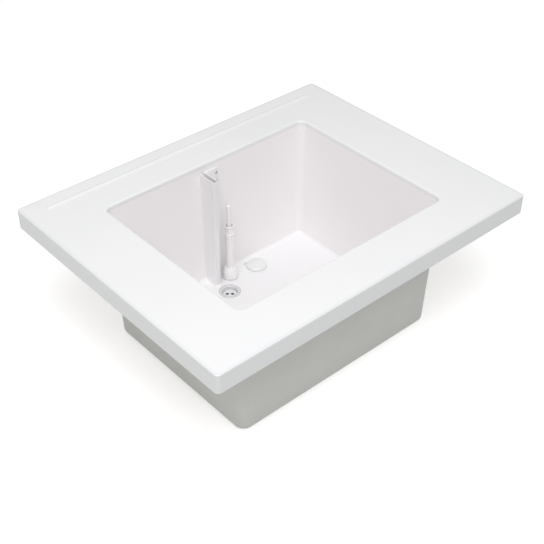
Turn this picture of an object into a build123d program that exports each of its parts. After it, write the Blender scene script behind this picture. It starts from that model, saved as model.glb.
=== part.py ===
"""Sink workbench: a moulded worktop with a deep bonded basin, its waste, overflow and loose stopper.

Lengths are in millimetres. The origin is the middle of the footprint, at the foot of the basin.
X runs from left to right, Y from the front edge to the back edge, Z upwards.
"""
from build123d import *
from math import cos, radians, sin
import os

os.makedirs("parts", exist_ok=True)

# overall worktop
table_length = 760
table_depth = 600
table_height = 300
apron_height = 40
apron_wall = 8
sheet_thickness = 8
table_corner_radius = 9
top_edge_radius = 2.5
overrun = 5

# water bead along the back of the worktop
bead_end_inset = 44
bead_width = 12
bead_height = 2.6
bead_from_back = 37
bead_edge_radius = 2.4

# ledges of the worktop round the basin mouth
left_ledge = 126.5
right_ledge = 130.5
front_ledge = 97.5
back_ledge = 107.5

# basin mouth and walls
mouth_corner_radius = 15
mouth_edge_radius = 4
basin_wall = 5.5
basin_draft_inset = 8.5
floor_level = 16
floor_thickness = 6
cove_radius = 8
basin_foot_radius = 10
basin_outer_corner_radius = 22
flange_width = 28
flange_thickness = 5
seal_thickness = 2
seal_inset = 4
seal_mouth_gap = 0.3

# hollow under the basin floor, with its stiffening ribs
foot_rim_width = 20
rib_thickness = 6
rib_pitch = 236
cross_rib_place = -78

# timber rails under the worktop sheet
rail_thickness = 18
rail_gap = 2
rail_fit = 1.5

# clips that pull the basin flange up against the sheet
clip_width = 24
clip_plate = 2
clip_grip = 12
clip_leg = 24
clip_screw_inset = 14
clip_hole_radius = 2.3
clip_spread_x_share = 0.32
clip_spread_y_share = 0.26
screw_radius = 2
screw_length = 15
screw_head_radius = 4.2
screw_head_height = 2.6
socket_radius = 1.8
socket_depth = 1.4

# threaded inserts for the stand's bolts
insert_inset_x = 55
insert_inset_y = 100
insert_radius = 5.5
insert_length = 14
insert_bore_radius = 3.4

# waste: dish, strainer and sump
drain_from_middle = -14
drain_from_wall = 72
dish_rim_radius = 23
dish_rim_thickness = 2.4
dish_rim_rise = 0.7
dish_mouth_radius = 20.5
dish_throat_radius = 15.9
dish_seat_depth = 9.5
dish_spigot_radius = 17.4
dish_bore_radius = 14
dish_foot_level = 1.5
dish_fit = 0.3
weep_radius = 1.2
weep_count = 6
washer_thickness = 1
strainer_thickness = 1.8
strainer_fit = 0.4
strainer_hole_radius = 3.6
strainer_hole_reach = 5.6
strainer_hole_turn = -41
strainer_knob_radius = 1.2
strainer_edge_radius = 0.45
strainer_knob_height = 3.2
sump_wall = 2
sump_margin = 6
slot_length = 9
slot_end_margin = 4
sump_seal_thickness = 1

# overflow duct on the back wall
duct_from_middle = -25
duct_width = 12.5
duct_wall = 2
duct_top_drop = 20
duct_top_reach = 46
duct_foot_reach = 31
duct_edge_radius = 1.6
tab_width = 34
tab_height = 40
tab_thickness = 2.4
tab_corner_radius = 5
tab_screw_pitch = 19
tab_screw_inset = 7
tab_screw_radius = 1.6
tab_screw_length = 5
tab_head_radius = 3.4
tab_head_height = 1.6
tab_hole_fit = 0.2

# long-handled stopper, parked beside the waste
stopper_from_middle = 19
stopper_from_wall = 34.5
foot_radius = 18
foot_heel_radius = 15.5
foot_shoulder = 6.5
foot_height = 30
foot_neck_radius = 11
foot_socket_depth = 21
tube_radius = 9
tube_bore_radius = 6.2
tube_length = 104
neck_radius = 7.4
neck_length = 18
bush_length = 12
bush_bore_radius = 4.8
rod_radius = 4.75
rod_length = 164
rod_lift_off = 14
rod_tip_radius = 3
piston_radius = 5.9
piston_length = 6
collar_radius = 9.9
collar_waist_radius = 8.8
collar_ring_height = 4
collar_height = 24
collar_fit = 0.3

# loose cover of the waste, lying beside it
cover_from_middle = 86.3
cover_from_wall = 42.5
cover_radius = 22.5
cover_height = 9.5
cover_skirt = 3.5
cover_wall = 2
lug_radius = 6
lug_hole_radius = 2.6
lug_thickness = 3
lug_reach = 24
lug_turn = 125

# levels worked out from the sizes above
apron_foot = table_height - apron_height
sheet_underside = table_height - sheet_thickness
flange_top = sheet_underside - seal_thickness
flange_underside = flange_top - flange_thickness
rail_underside = sheet_underside - rail_thickness
floor_underside = floor_level - floor_thickness
mouth_length = table_length - left_ledge - right_ledge
mouth_width = table_depth - front_ledge - back_ledge
mouth_offset_x = (left_ledge - right_ledge) / 2
mouth_offset_y = (front_ledge - back_ledge) / 2
mouth_centre = (mouth_offset_x, mouth_offset_y)
back_wall_top = mouth_offset_y + mouth_width / 2
bead_length = table_length - 2 * bead_end_inset
insert_spacing_x = table_length - 2 * insert_inset_x
insert_spacing_y = table_depth - 2 * insert_inset_y
flange_length = mouth_length + 2 * flange_width
flange_depth = mouth_width + 2 * flange_width
outer_top_length = mouth_length + 2 * basin_wall
outer_top_width = mouth_width + 2 * basin_wall
outer_foot_length = outer_top_length - 2 * basin_draft_inset
outer_foot_width = outer_top_width - 2 * basin_draft_inset
floor_length = mouth_length - 2 * basin_draft_inset
floor_width = mouth_width - 2 * basin_draft_inset

# places of the fittings, from the middle of the mouth and from its back wall
drain_x = mouth_offset_x + drain_from_middle
drain_y = back_wall_top - drain_from_wall
duct_left = mouth_offset_x + duct_from_middle
stopper_x = mouth_offset_x + stopper_from_middle
stopper_y = back_wall_top - stopper_from_wall
cover_x = mouth_offset_x + cover_from_middle
cover_y = back_wall_top - cover_from_wall


def upright_plane(x, y):
    """Plane through a vertical axis: its x is X, its y is Z."""
    return Plane(origin=(x, y, 0), x_dir=(1, 0, 0), z_dir=(0, -1, 0))


def upright_axis(x, y):
    return Axis((x, y, 0), (0, 0, 1))


def finish(builder, name):
    builder.part.label = name
    export_step(builder.part, f"parts/{name}.step")


# worktop: one moulded sheet with four aprons, a rounded mouth and the water bead
with BuildPart() as worktop:
    with BuildSketch(Plane.XY.offset(apron_foot)):
        RectangleRounded(table_length, table_depth, table_corner_radius)
    extrude(amount=apron_height)
    fillet(worktop.edges().group_by(Axis.Z)[-1], top_edge_radius)
    with BuildSketch(Plane.XY.offset(apron_foot)):
        RectangleRounded(
            table_length - 2 * apron_wall,
            table_depth - 2 * apron_wall,
            table_corner_radius / 2,
        )
    extrude(amount=apron_height - sheet_thickness, mode=Mode.SUBTRACT)
    with BuildSketch(Plane.XY.offset(sheet_underside)):
        with Locations(mouth_centre):
            RectangleRounded(mouth_length, mouth_width, mouth_corner_radius)
    extrude(amount=sheet_thickness, mode=Mode.SUBTRACT)
    fillet(worktop.faces().sort_by(Axis.Z)[-1].inner_wires().edges(), mouth_edge_radius)
    with BuildSketch(Plane.XY.offset(table_height)):
        with Locations((0, table_depth / 2 - bead_from_back)):
            SlotOverall(bead_length, bead_width)
    extrude(amount=bead_height)
    fillet(worktop.edges().group_by(Axis.Z)[-1], bead_edge_radius)
finish(worktop, "worktop")

# the space inside the basin, drafted towards the floor and coved round it
with BuildPart() as cavity:
    with BuildSketch(Plane.XY.offset(floor_level)):
        with Locations(mouth_centre):
            RectangleRounded(floor_length, floor_width, mouth_corner_radius)
    with BuildSketch(Plane.XY.offset(flange_top)):
        with Locations(mouth_centre):
            RectangleRounded(mouth_length, mouth_width, mouth_corner_radius)
    loft()
    fillet(cavity.edges().group_by(Axis.Z)[0], cove_radius)

# the duct's fixing tab lies on the drafted back wall
duct_top = table_height - duct_top_drop
tab_plane = Plane(
    origin=(duct_left + duct_width, back_wall_top, flange_top),
    x_dir=(1, 0, 0),
    z_dir=Vector(0, -(flange_top - floor_level), basin_draft_inset),
)
tab_drop = flange_top - duct_top + tab_height / 2
tab_middle = (tab_width / 2, -tab_drop)
tab_screw_x = tab_width - tab_screw_inset
tab_screw_points = [
    (tab_screw_x, -tab_drop + tab_screw_pitch / 2),
    (tab_screw_x, -tab_drop - tab_screw_pitch / 2),
]

# where the waste and the overflow pass through the basin floor
duct_middle = duct_left + duct_width / 2
duct_foot_y = back_wall_top - basin_draft_inset - duct_foot_reach
slot_width = duct_width - 2 * duct_wall
slot_y = duct_foot_y + duct_wall + slot_length / 2

with BuildPart() as basin:
    with BuildSketch(Plane.XY):
        with Locations(mouth_centre):
            RectangleRounded(outer_foot_length, outer_foot_width, basin_outer_corner_radius)
    with BuildSketch(Plane.XY.offset(flange_underside)):
        with Locations(mouth_centre):
            RectangleRounded(outer_top_length, outer_top_width, basin_outer_corner_radius)
    loft()
    fillet(basin.edges().group_by(Axis.Z)[0], basin_foot_radius)
    with BuildSketch(Plane.XY.offset(flange_underside)):
        with Locations(mouth_centre):
            RectangleRounded(flange_length, flange_depth, basin_outer_corner_radius)
    extrude(amount=flange_thickness)
    add(cavity.part, mode=Mode.SUBTRACT)
    with BuildSketch(Plane.XY):
        with Locations(mouth_centre):
            RectangleRounded(
                outer_foot_length - 2 * foot_rim_width,
                outer_foot_width - 2 * foot_rim_width,
                mouth_corner_radius,
            )
            with GridLocations(rib_pitch, 0, 2, 1):
                Rectangle(rib_thickness, outer_foot_width, mode=Mode.SUBTRACT)
            with Locations((0, cross_rib_place)):
                Rectangle(outer_foot_length, rib_thickness, mode=Mode.SUBTRACT)
    extrude(amount=floor_underside, mode=Mode.SUBTRACT)
    with BuildSketch(Plane.XY.offset(floor_underside)):
        with Locations((drain_x, drain_y)):
            Circle(dish_spigot_radius + dish_fit)
        with Locations((duct_middle, slot_y)):
            Rectangle(slot_width, slot_length)
    extrude(amount=floor_thickness, mode=Mode.SUBTRACT)
    with BuildSketch(Plane.XY.offset(floor_level)):
        with Locations((drain_x, drain_y)):
            Circle(dish_rim_radius + dish_fit)
    extrude(amount=-(dish_rim_thickness - dish_rim_rise + washer_thickness), mode=Mode.SUBTRACT)
    with BuildSketch(tab_plane):
        with Locations(*tab_screw_points):
            Circle(tab_screw_radius)
    extrude(amount=-(tab_screw_length - tab_thickness), mode=Mode.SUBTRACT)
finish(basin, "basin")

# seal between the flange and the sheet, almost flush with the mouth
with BuildPart() as basin_seal:
    with BuildSketch(Plane.XY.offset(flange_top)):
        with Locations(mouth_centre):
            RectangleRounded(
                flange_length - 2 * seal_inset,
                flange_depth - 2 * seal_inset,
                basin_outer_corner_radius,
            )
            RectangleRounded(
                mouth_length + 2 * seal_mouth_gap,
                mouth_width + 2 * seal_mouth_gap,
                mouth_corner_radius,
                mode=Mode.SUBTRACT,
            )
    extrude(amount=seal_thickness)
finish(basin_seal, "basin_seal")

# clip places: outwards from the middle of each flange edge, two to a side
flange_half_x = flange_length / 2
flange_half_y = flange_depth / 2
clip_side_x = flange_length * clip_spread_x_share
clip_side_y = flange_depth * clip_spread_y_share
clip_places = []
for side in (-1, 1):
    for end in (-1, 1):
        clip_places.append(
            Location((mouth_offset_x + side * flange_half_x, mouth_offset_y + end * clip_side_y, 0),
                     (0, 0, 90 - side * 90))
        )
        clip_places.append(
            Location((mouth_offset_x + end * clip_side_x, mouth_offset_y + side * flange_half_y, 0),
                     (0, 0, side * 90))
        )

with BuildPart() as clip:
    with BuildSketch(Plane.XZ.offset(-clip_width / 2)):
        with BuildLine():
            Polyline(
                (-clip_grip, flange_underside),
                (0, flange_underside),
                (0, rail_underside),
                (clip_leg, rail_underside),
                (clip_leg, rail_underside - clip_plate),
                (-clip_plate, rail_underside - clip_plate),
                (-clip_plate, flange_underside - clip_plate),
                (-clip_grip, flange_underside - clip_plate),
                close=True,
            )
        make_face()
    extrude(amount=clip_width)
    with BuildSketch(Plane.XY.offset(rail_underside - clip_plate)):
        with Locations((clip_screw_inset, 0)):
            Circle(clip_hole_radius)
    extrude(amount=clip_plate, mode=Mode.SUBTRACT)

with BuildPart() as basin_clips:
    with Locations(*clip_places):
        add(clip.part)
finish(basin_clips, "basin_clips")

clip_foot = rail_underside - clip_plate
with BuildPart() as screw:
    with BuildSketch(Plane.XY.offset(clip_foot)):
        with Locations((clip_screw_inset, 0)):
            Circle(screw_radius)
    extrude(amount=screw_length)
    with BuildSketch(Plane.XY.offset(clip_foot)):
        with Locations((clip_screw_inset, 0)):
            Circle(screw_head_radius)
    extrude(amount=-screw_head_height)
    fillet(screw.edges().group_by(Axis.Z)[0], screw_head_height / 2)
    with BuildSketch(Plane.XY.offset(clip_foot - screw_head_height)):
        with Locations((clip_screw_inset, 0)):
            RegularPolygon(socket_radius, 6)
    extrude(amount=socket_depth, mode=Mode.SUBTRACT)

with BuildPart() as clip_screws:
    with Locations(*clip_places):
        add(screw.part)
finish(clip_screws, "clip_screws")

# rails: the space between the aprons and the flange, in four lengths of board
inner_half_x = table_length / 2 - apron_wall - rail_fit
inner_half_y = table_depth / 2 - apron_wall - rail_fit
hole_front = mouth_offset_y - flange_half_y - rail_gap
hole_back = mouth_offset_y + flange_half_y + rail_gap
hole_left = mouth_offset_x - flange_half_x - rail_gap
hole_right = mouth_offset_x + flange_half_x + rail_gap
rail_edges = {
    "front_rail": (-inner_half_x, inner_half_x, -inner_half_y, hole_front),
    "rear_rail": (-inner_half_x, inner_half_x, hole_back, inner_half_y),
    "left_rail": (-inner_half_x, hole_left, hole_front, hole_back),
    "right_rail": (hole_right, inner_half_x, hole_front, hole_back),
}

with BuildPart() as screw_bore:
    with BuildSketch(Plane.XY.offset(rail_underside)):
        with Locations((clip_screw_inset, 0)):
            Circle(screw_radius)
    extrude(amount=screw_length - clip_plate)

with BuildPart() as rail_bores:
    with Locations(*clip_places):
        add(screw_bore.part)
    with BuildSketch(Plane.XY.offset(rail_underside)):
        with GridLocations(insert_spacing_x, insert_spacing_y, 2, 2):
            Circle(insert_radius)
    extrude(amount=insert_length)

for rail_name, (x_low, x_high, y_low, y_high) in rail_edges.items():
    with BuildPart() as rail:
        with BuildSketch(Plane.XY.offset(rail_underside)):
            with Locations(((x_low + x_high) / 2, (y_low + y_high) / 2)):
                Rectangle(x_high - x_low, y_high - y_low)
        extrude(amount=rail_thickness)
        add(rail_bores.part, mode=Mode.SUBTRACT)
    finish(rail, rail_name)

# threaded inserts, open at the rails' underside
with BuildPart() as frame_inserts:
    with BuildSketch(Plane.XY.offset(rail_underside)):
        with GridLocations(insert_spacing_x, insert_spacing_y, 2, 2):
            Circle(insert_radius)
            Circle(insert_bore_radius, mode=Mode.SUBTRACT)
    extrude(amount=insert_length)
finish(frame_inserts, "frame_inserts")

# waste dish: a rim that curves into a straight throat, the strainer's seat, and a spigot
dish_top = floor_level + dish_rim_rise
dish_shoulder = dish_top - dish_rim_thickness
dish_seat = dish_top - dish_seat_depth
with BuildPart() as drain_dish:
    with BuildSketch(upright_plane(drain_x, drain_y)):
        with BuildLine():
            Polyline(
                (dish_bore_radius, dish_seat),
                (dish_bore_radius, dish_foot_level),
                (dish_spigot_radius, dish_foot_level),
                (dish_spigot_radius, dish_shoulder),
                (dish_rim_radius, dish_shoulder),
                (dish_rim_radius, dish_top - dish_rim_rise),
            )
            Line((dish_rim_radius, dish_top - dish_rim_rise), (dish_rim_radius - dish_rim_rise, dish_top))
            Line((dish_rim_radius - dish_rim_rise, dish_top), (dish_mouth_radius, dish_top))
            Spline(
                (dish_mouth_radius, dish_top),
                (dish_throat_radius, dish_shoulder),
                tangents=((-1, 0), (0, -1)),
            )
            Polyline(
                (dish_throat_radius, dish_shoulder),
                (dish_throat_radius, dish_seat),
                (dish_bore_radius, dish_seat),
            )
        make_face()
    revolve(axis=upright_axis(drain_x, drain_y))
    weep_level = floor_underside / 2
    for step in range(weep_count):
        turn = 360 * step / weep_count
        weep_plane = Plane(
            origin=(drain_x, drain_y, weep_level),
            z_dir=(cos(radians(turn)), sin(radians(turn)), 0),
        )
        with BuildSketch(weep_plane.offset(dish_bore_radius - dish_fit)):
            Circle(weep_radius)
        extrude(amount=dish_spigot_radius - dish_bore_radius + 2 * dish_fit, mode=Mode.SUBTRACT)
finish(drain_dish, "drain_dish")

with BuildPart() as dish_washer:
    with BuildSketch(Plane.XY.offset(dish_shoulder - washer_thickness)):
        with Locations((drain_x, drain_y)):
            Circle(dish_rim_radius)
            Circle(dish_spigot_radius + dish_fit, mode=Mode.SUBTRACT)
    extrude(amount=washer_thickness)
finish(dish_washer, "dish_washer")

# sump under the floor: joins the overflow slot to the spigot's weep holes
sump_top = floor_underside - sump_seal_thickness
slot_end = slot_y + slot_length / 2


def sump_arm(margin, end_margin):
    """Arm of the sump from the middle of the waste to past the overflow slot."""
    arm_length = slot_end + end_margin - drain_y
    with Locations((duct_middle, drain_y + arm_length / 2)):
        Rectangle(slot_width + 2 * margin, arm_length)


with BuildPart() as waste_sump:
    with BuildSketch(Plane.XY.offset(dish_foot_level)):
        with Locations((drain_x, drain_y)):
            Circle(dish_spigot_radius + sump_margin)
        sump_arm(sump_margin, slot_end_margin)
    extrude(amount=sump_top - dish_foot_level)
    with BuildSketch(Plane.XY.offset(dish_foot_level + sump_wall)):
        with Locations((drain_x, drain_y)):
            Circle(dish_spigot_radius + sump_margin - sump_wall)
        sump_arm(sump_margin - sump_wall, slot_end_margin - sump_wall)
    extrude(amount=sump_top - dish_foot_level - 2 * sump_wall, mode=Mode.SUBTRACT)
    with BuildSketch(Plane.XY.offset(dish_foot_level)):
        with Locations((drain_x, drain_y)):
            Circle(dish_spigot_radius + dish_fit)
    extrude(amount=sump_top - dish_foot_level, mode=Mode.SUBTRACT)
    with BuildSketch(Plane.XY.offset(sump_top - sump_wall)):
        with Locations((duct_middle, slot_y)):
            Rectangle(slot_width, slot_length)
    extrude(amount=sump_wall, mode=Mode.SUBTRACT)
finish(waste_sump, "waste_sump")

with BuildPart() as sump_seal:
    with BuildSketch(Plane.XY.offset(sump_top)):
        with Locations((drain_x, drain_y)):
            Circle(dish_spigot_radius + sump_margin)
        sump_arm(sump_margin, slot_end_margin)
        with Locations((duct_middle, slot_y)):
            Rectangle(slot_width, slot_length, mode=Mode.SUBTRACT)
        with Locations((drain_x, drain_y)):
            Circle(dish_spigot_radius + dish_fit, mode=Mode.SUBTRACT)
    extrude(amount=sump_seal_thickness)
finish(sump_seal, "sump_seal")

# strainer: a plate with two holes and a small knob to lift it by
strainer_radius = dish_throat_radius - strainer_fit
with BuildPart() as strainer:
    with BuildSketch(Plane.XY.offset(dish_seat)):
        with Locations((drain_x, drain_y)):
            Circle(strainer_radius)
            with Locations(Rotation(0, 0, strainer_hole_turn)):
                with Locations((-strainer_hole_reach, 0), (strainer_hole_reach, 0)):
                    Circle(strainer_hole_radius, mode=Mode.SUBTRACT)
    extrude(amount=strainer_thickness)
    fillet(strainer.edges().group_by(Axis.Z)[-1], strainer_edge_radius)
    with BuildSketch(Plane.XY.offset(dish_seat + strainer_thickness / 2)):
        with Locations((drain_x, drain_y)):
            Circle(strainer_knob_radius)
    extrude(amount=strainer_knob_height)
finish(strainer, "strainer")

# overflow duct: a narrow open-topped channel, its back cut to the drafted wall and the cove
duct_front_top = back_wall_top - duct_top_reach
duct_back = back_wall_top + overrun
with BuildPart() as overflow_duct:
    with BuildSketch(Plane.YZ.offset(duct_left)):
        with BuildLine():
            Polyline(
                (duct_front_top, duct_top),
                (duct_foot_y, floor_level),
                (duct_back, floor_level),
                (duct_back, duct_top),
                close=True,
            )
        make_face()
    extrude(amount=duct_width)
    front_corners = overflow_duct.faces().sort_by(Axis.Y)[0].edges().filter_by(Axis.X, reverse=True)
    fillet(front_corners, duct_edge_radius)
    with BuildSketch(Plane.YZ.offset(duct_left + duct_wall)):
        with BuildLine():
            Polyline(
                (duct_front_top + duct_wall, duct_top),
                (duct_foot_y + duct_wall, floor_level),
                (duct_back, floor_level),
                (duct_back, duct_top),
                close=True,
            )
        make_face()
    extrude(amount=duct_width - 2 * duct_wall, mode=Mode.SUBTRACT)
    add(cavity.part, mode=Mode.INTERSECT)
finish(overflow_duct, "overflow_duct")

# fixing tab of the duct: a rounded plate flat against the wall
with BuildPart() as duct_tab:
    with BuildSketch(tab_plane):
        with Locations(tab_middle):
            RectangleRounded(tab_width, tab_height, tab_corner_radius)
        with Locations(*tab_screw_points):
            Circle(tab_screw_radius + tab_hole_fit, mode=Mode.SUBTRACT)
    extrude(amount=tab_thickness)
finish(duct_tab, "duct_tab")

with BuildPart() as tab_screws:
    with BuildSketch(tab_plane.offset(tab_thickness)):
        with Locations(*tab_screw_points):
            Circle(tab_head_radius)
    extrude(amount=tab_head_height)
    with BuildSketch(tab_plane.offset(tab_thickness)):
        with Locations(*tab_screw_points):
            Circle(tab_screw_radius)
    extrude(amount=-tab_screw_length)
finish(tab_screws, "tab_screws")

# stopper foot: a soft domed bell that narrows to a neck round the tube
foot_top = floor_level + foot_height
socket_level = foot_top - foot_socket_depth
with BuildPart() as stopper_foot:
    with BuildSketch(upright_plane(stopper_x, stopper_y)):
        with BuildLine():
            Polyline((0, socket_level), (0, floor_level), (foot_heel_radius, floor_level))
            Line((foot_heel_radius, floor_level), (foot_radius, floor_level + foot_shoulder))
            Spline(
                (foot_radius, floor_level + foot_shoulder),
                (foot_neck_radius, foot_top),
                tangents=((0, 1), (-1, 1)),
            )
            Polyline(
                (foot_neck_radius, foot_top),
                (tube_radius, foot_top),
                (tube_radius, socket_level),
                (0, socket_level),
            )
        make_face()
    revolve(axis=upright_axis(stopper_x, stopper_y))
finish(stopper_foot, "stopper_foot")

# stopper tube, closed below and reduced to a neck at its top
tube_top = socket_level + tube_length
neck_top = tube_top + neck_length
with BuildPart() as stopper_tube:
    with BuildSketch(upright_plane(stopper_x, stopper_y)):
        with BuildLine():
            Polyline(
                (0, socket_level),
                (tube_radius, socket_level),
                (tube_radius, tube_top),
                (neck_radius, tube_top),
                (neck_radius, neck_top),
                (tube_bore_radius, neck_top),
                (tube_bore_radius, socket_level + tube_radius - tube_bore_radius),
                (0, socket_level + tube_radius - tube_bore_radius),
                close=True,
            )
        make_face()
    revolve(axis=upright_axis(stopper_x, stopper_y))
finish(stopper_tube, "stopper_tube")

with BuildPart() as rod_bush:
    with BuildSketch(Plane.XY.offset(neck_top - bush_length)):
        with Locations((stopper_x, stopper_y)):
            Circle(tube_bore_radius)
            Circle(bush_bore_radius, mode=Mode.SUBTRACT)
    extrude(amount=bush_length)
finish(rod_bush, "rod_bush")

# handle rod: slides in the bush, kept in by its piston
rod_foot = socket_level + rod_lift_off
with BuildPart() as handle_rod:
    with BuildSketch(Plane.XY.offset(rod_foot)):
        with Locations((stopper_x, stopper_y)):
            Circle(rod_radius)
    extrude(amount=rod_length)
    fillet(handle_rod.edges().group_by(Axis.Z)[-1], rod_tip_radius)
    with BuildSketch(Plane.XY.offset(rod_foot)):
        with Locations((stopper_x, stopper_y)):
            Circle(piston_radius)
    extrude(amount=piston_length)
finish(handle_rod, "handle_rod")

# twist collar: two rings with a waist between them, turning on the tube's neck
collar_top = tube_top + collar_height
with BuildPart() as twist_collar:
    with BuildSketch(upright_plane(stopper_x, stopper_y)):
        with BuildLine():
            Polyline(
                (neck_radius + collar_fit, tube_top),
                (collar_radius, tube_top),
                (collar_radius, tube_top + collar_ring_height),
                (collar_waist_radius, tube_top + collar_ring_height),
                (collar_waist_radius, collar_top - collar_ring_height),
                (collar_radius, collar_top - collar_ring_height),
                (collar_radius, collar_top),
                (neck_radius + collar_fit, collar_top),
                close=True,
            )
        make_face()
    revolve(axis=upright_axis(stopper_x, stopper_y))
finish(twist_collar, "twist_collar")

# cover of the waste: a shallow hollow dome with a finger lug
lug_x = cover_x + lug_reach * cos(radians(lug_turn))
lug_y = cover_y + lug_reach * sin(radians(lug_turn))
cover_top = floor_level + cover_height
cover_shoulder = floor_level + cover_skirt
inner_radius = cover_radius - cover_wall
with BuildPart() as drain_cover:
    with BuildSketch(upright_plane(cover_x, cover_y)):
        with BuildLine():
            Line((0, cover_top), (0, cover_top - cover_wall))
            TangentArc((0, cover_top - cover_wall), (inner_radius, cover_shoulder), tangent=(1, 0))
            Polyline(
                (inner_radius, cover_shoulder),
                (inner_radius, floor_level),
                (cover_radius, floor_level),
                (cover_radius, cover_shoulder),
            )
            TangentArc((0, cover_top), (cover_radius, cover_shoulder), tangent=(1, 0))
        make_face()
    revolve(axis=upright_axis(cover_x, cover_y))
    with BuildSketch(Plane.XY.offset(floor_level)):
        with Locations((lug_x, lug_y)):
            Circle(lug_radius)
        with Locations((cover_x, cover_y)):
            Circle(cover_radius - cover_wall / 2, mode=Mode.SUBTRACT)
        with Locations((lug_x, lug_y)):
            Circle(lug_hole_radius, mode=Mode.SUBTRACT)
    extrude(amount=lug_thickness)
finish(drain_cover, "drain_cover")
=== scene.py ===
import math

import bmesh
import bpy
from mathutils import Matrix, Vector


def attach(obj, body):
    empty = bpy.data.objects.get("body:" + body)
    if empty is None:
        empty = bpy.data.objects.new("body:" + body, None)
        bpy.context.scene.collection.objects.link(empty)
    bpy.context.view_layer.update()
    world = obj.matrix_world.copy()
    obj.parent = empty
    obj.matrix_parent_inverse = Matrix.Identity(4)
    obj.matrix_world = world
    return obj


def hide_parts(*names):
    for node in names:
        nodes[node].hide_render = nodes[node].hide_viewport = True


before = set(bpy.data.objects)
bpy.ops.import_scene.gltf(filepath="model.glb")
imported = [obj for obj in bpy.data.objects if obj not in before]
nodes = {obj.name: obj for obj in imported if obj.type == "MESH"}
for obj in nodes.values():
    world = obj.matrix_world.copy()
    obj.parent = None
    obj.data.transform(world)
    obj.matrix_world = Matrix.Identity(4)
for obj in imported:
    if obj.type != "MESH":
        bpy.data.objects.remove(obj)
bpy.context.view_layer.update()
scene = bpy.context.scene
mm = 0.001
print("frame loaded:", len(nodes), "nodes")


# camera
camera = {"turn": -41.3889, "rise": 38.2499, "roll": 0.1067, "distance": 1.8097,
          "aim": (-0.1434, -0.1594, 0.300), "lens": 69.09, "sensor": 36}


def placeCamera():
    turn, rise = math.radians(camera["turn"]), math.radians(camera["rise"])
    back = Vector((math.sin(turn) * math.cos(rise), -math.cos(turn) * math.cos(rise), math.sin(rise)))
    data = bpy.data.cameras.new("camera")
    data.lens, data.sensor_width = camera["lens"], camera["sensor"]
    data.clip_start, data.clip_end = 0.05, 60
    cam = bpy.data.objects.new("camera", data)
    scene.collection.objects.link(cam)
    cam.location = Vector(camera["aim"]) + back * camera["distance"]
    facing = (-back).to_track_quat("-Z", "Y").to_matrix()
    cam.rotation_euler = (facing @ Matrix.Rotation(math.radians(camera["roll"]), 3, "Z")).to_euler()
    scene.camera = cam


placeCamera()
print("camera placed")


# node helpers for the finishes
def startFinish(name, roughness=0.4, coat=0.0, coatRoughness=0.1, ior=1.5, metallic=0.0):
    finish = bpy.data.materials.new(name)
    finish.use_nodes = True
    shader = finish.node_tree.nodes["Principled BSDF"]
    shader.inputs["Roughness"].default_value = roughness
    shader.inputs["Metallic"].default_value = metallic
    shader.inputs["IOR"].default_value = ior
    shader.inputs["Coat Weight"].default_value = coat
    shader.inputs["Coat Roughness"].default_value = coatRoughness
    return finish, finish.node_tree, shader


def addNode(tree, kind, **settings):
    node = tree.nodes.new("ShaderNode" + kind)
    for key, value in settings.items():
        setattr(node, key, value)
    return node


def placeOf(tree):
    return addNode(tree, "TexCoord").outputs["Object"]


def stretched(tree, source, scale, turn=(0, 0, 0), shift=(0, 0, 0)):
    mapping = addNode(tree, "Mapping")
    mapping.inputs["Scale"].default_value = scale
    mapping.inputs["Rotation"].default_value = turn
    mapping.inputs["Location"].default_value = shift
    tree.links.new(source, mapping.inputs["Vector"])
    return mapping.outputs["Vector"]


def noise(tree, source, scale, detail=3.0, roughness=0.5, distortion=0.0):
    node = addNode(tree, "TexNoise")
    node.inputs["Scale"].default_value = scale
    node.inputs["Detail"].default_value = detail
    node.inputs["Roughness"].default_value = roughness
    node.inputs["Distortion"].default_value = distortion
    tree.links.new(source, node.inputs["Vector"])
    return node.outputs["Fac"]


def spread(tree, source, low, high, toLow=0.0, toHigh=1.0):
    node = addNode(tree, "MapRange")
    for key, value in (("From Min", low), ("From Max", high), ("To Min", toLow), ("To Max", toHigh)):
        node.inputs[key].default_value = value
    tree.links.new(source, node.inputs["Value"])
    return node.outputs["Result"]


def combine(tree, operation, first, second):
    node = addNode(tree, "Math", operation=operation)
    for socket, value in zip(node.inputs, (first, second)):
        if isinstance(value, (int, float)):
            socket.default_value = value
        else:
            tree.links.new(value, socket)
    return node.outputs["Value"]


def blendColour(tree, amount, first, second):
    node = addNode(tree, "Mix", data_type="RGBA")
    tree.links.new(amount, node.inputs["Factor"])
    for socket, value in ((node.inputs[6], first), (node.inputs[7], second)):
        if isinstance(value, tuple):
            socket.default_value = (*value, 1)
        else:
            tree.links.new(value, socket)
    return node.outputs[2]


def relief(tree, shader, height, depth, strength=1.0):
    node = addNode(tree, "Bump")
    node.inputs["Strength"].default_value = strength
    node.inputs["Distance"].default_value = depth
    tree.links.new(height, node.inputs["Height"])
    tree.links.new(node.outputs["Normal"], shader.inputs["Normal"])


def useColour(tree, shader, colour):
    tree.links.new(colour, shader.inputs["Base Color"])


def useRoughness(tree, shader, value):
    tree.links.new(value, shader.inputs["Roughness"])


# finishes
# the edge colour is painted shade: the worktop's outer side faces get a darker tone for the shade they sit in
gelCoat = {"colour": (0.905, 0.905, 0.912), "cloud": (0.885, 0.888, 0.898), "edge": (0.80, 0.808, 0.815),
           "cloudScale": 5.0, "peelScale": 210, "peelDepth": 0.00003, "smooth": 0.3, "dull": 0.36}


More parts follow.
